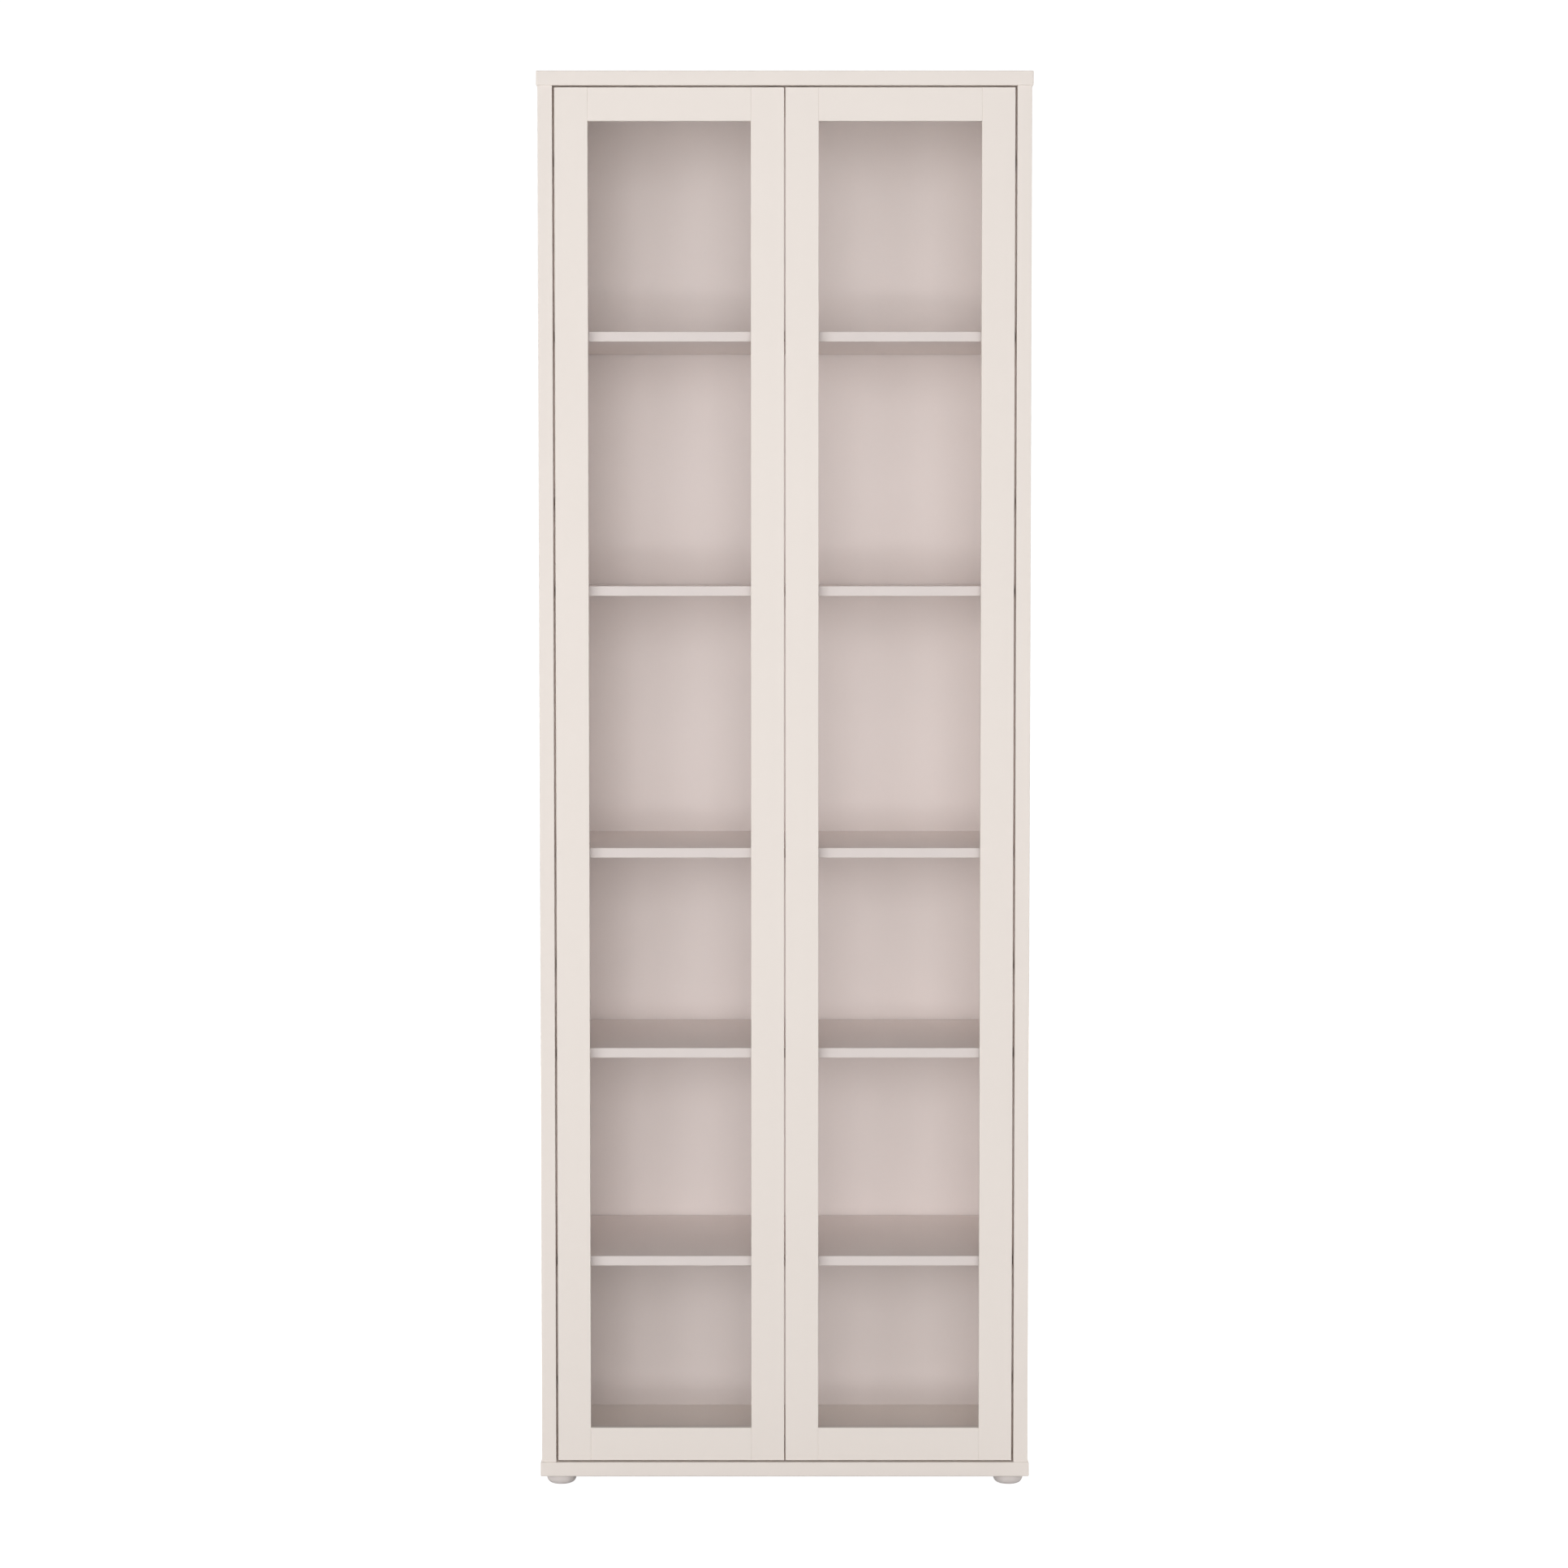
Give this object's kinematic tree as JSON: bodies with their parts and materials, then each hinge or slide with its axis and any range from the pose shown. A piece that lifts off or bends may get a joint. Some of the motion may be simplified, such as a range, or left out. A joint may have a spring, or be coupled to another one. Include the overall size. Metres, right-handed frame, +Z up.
{
  "type": "glass-door bookcase",
  "caption": "Tall narrow display bookcase with a pair of full-height framed glass doors, full-width shelves and low round feet.",
  "frame": {"origin": "centre of the footprint, on the floor under the feet", "axes": "+Z up, front with the doors toward -Y, +X to the right seen from the front"},
  "size_m": [0.745, 0.378, 2.143],
  "materials": {
    "panel_laminate": "satin warm-white laminate on board",
    "shelf_laminate": "satin warm-white laminate on board",
    "door_lacquer": "satin warm-white foil on fibreboard frame",
    "back_board": "matt white-printed hardboard",
    "door_glass": "clear tempered float glass",
    "bead_plastic": "matt white extruded plastic",
    "foot_plastic": "fine-grained grey-beige moulded plastic",
    "latch_plastic": "moulded white plastic",
    "plunger_plastic": "smooth moulded plastic",
    "nickel_steel": "nickel or zinc plated steel",
    "beech": "fluted beech"
  },
  "bodies": {
    "carcass": {"left_side_panel": "panel_laminate", "right_side_panel": "panel_laminate", "top_panel": "panel_laminate", "bottom_panel": "panel_laminate", "bottom_shelf": "shelf_laminate", "lower_shelf": "shelf_laminate", "middle_shelf": "shelf_laminate", "upper_shelf": "shelf_laminate", "top_shelf": "shelf_laminate", "back_panel_upper": "back_board", "back_panel_lower": "back_board", "back_panel_nails": "nickel_steel", "shelf_pins": "nickel_steel", "cam_locks": "nickel_steel", "cam_bolts": "nickel_steel", "carcass_dowels": "beech", "front_left_foot": "foot_plastic", "front_right_foot": "foot_plastic", "rear_left_foot": "foot_plastic", "rear_right_foot": "foot_plastic", "foot_screws": "nickel_steel", "left_hinge_plates": "nickel_steel", "right_hinge_plates": "nickel_steel", "left_hinge_arms": "nickel_steel", "right_hinge_arms": "nickel_steel", "hinge_plate_screws": "nickel_steel", "hinge_arm_screws": "nickel_steel", "left_latch_housing": "latch_plastic", "right_latch_housing": "latch_plastic", "latch_screws": "nickel_steel", "wall_brackets": "nickel_steel", "wall_bracket_screws": "nickel_steel"},
    "left_door": {"left_door_hinge_stile": "door_lacquer", "left_door_lock_stile": "door_lacquer", "left_door_top_rail": "door_lacquer", "left_door_bottom_rail": "door_lacquer", "left_door_glass": "door_glass", "left_door_glazing_beads": "bead_plastic", "left_door_dowels": "beech", "left_hinge_cups": "nickel_steel", "left_hinge_pins": "nickel_steel", "left_cup_screws": "nickel_steel", "left_strike_plate": "nickel_steel", "left_strike_screw": "nickel_steel"},
    "right_door": {"right_door_hinge_stile": "door_lacquer", "right_door_lock_stile": "door_lacquer", "right_door_top_rail": "door_lacquer", "right_door_bottom_rail": "door_lacquer", "right_door_glass": "door_glass", "right_door_glazing_beads": "bead_plastic", "right_door_dowels": "beech", "right_hinge_cups": "nickel_steel", "right_hinge_pins": "nickel_steel", "right_cup_screws": "nickel_steel", "right_strike_plate": "nickel_steel", "right_strike_screw": "nickel_steel"},
    "left_plunger": {"left_latch_plunger": "plunger_plastic"},
    "right_plunger": {"right_latch_plunger": "plunger_plastic"}
  },
  "joints": [
    {"name": "left_door_hinge", "type": "hinge", "parent": "carcass", "child": "left_door", "pos_m": [-0.328, -0.1768, 1.079], "axis": [0, 0, -1], "range_deg": [0, 95]},
    {"name": "right_door_hinge", "type": "hinge", "parent": "carcass", "child": "right_door", "pos_m": [0.328, -0.1768, 1.079], "axis": [0, 0, 1], "range_deg": [0, 95]},
    {"name": "left_latch_press", "type": "slide", "parent": "carcass", "child": "left_plunger", "axis": [0, 1, 0], "range_m": [0, 0.003], "stiffness_N_per_m": 800, "springref_m": -0.002},
    {"name": "right_latch_press", "type": "slide", "parent": "carcass", "child": "right_plunger", "axis": [0, 1, 0], "range_m": [0, 0.003], "stiffness_N_per_m": 800, "springref_m": -0.002}
  ]
}
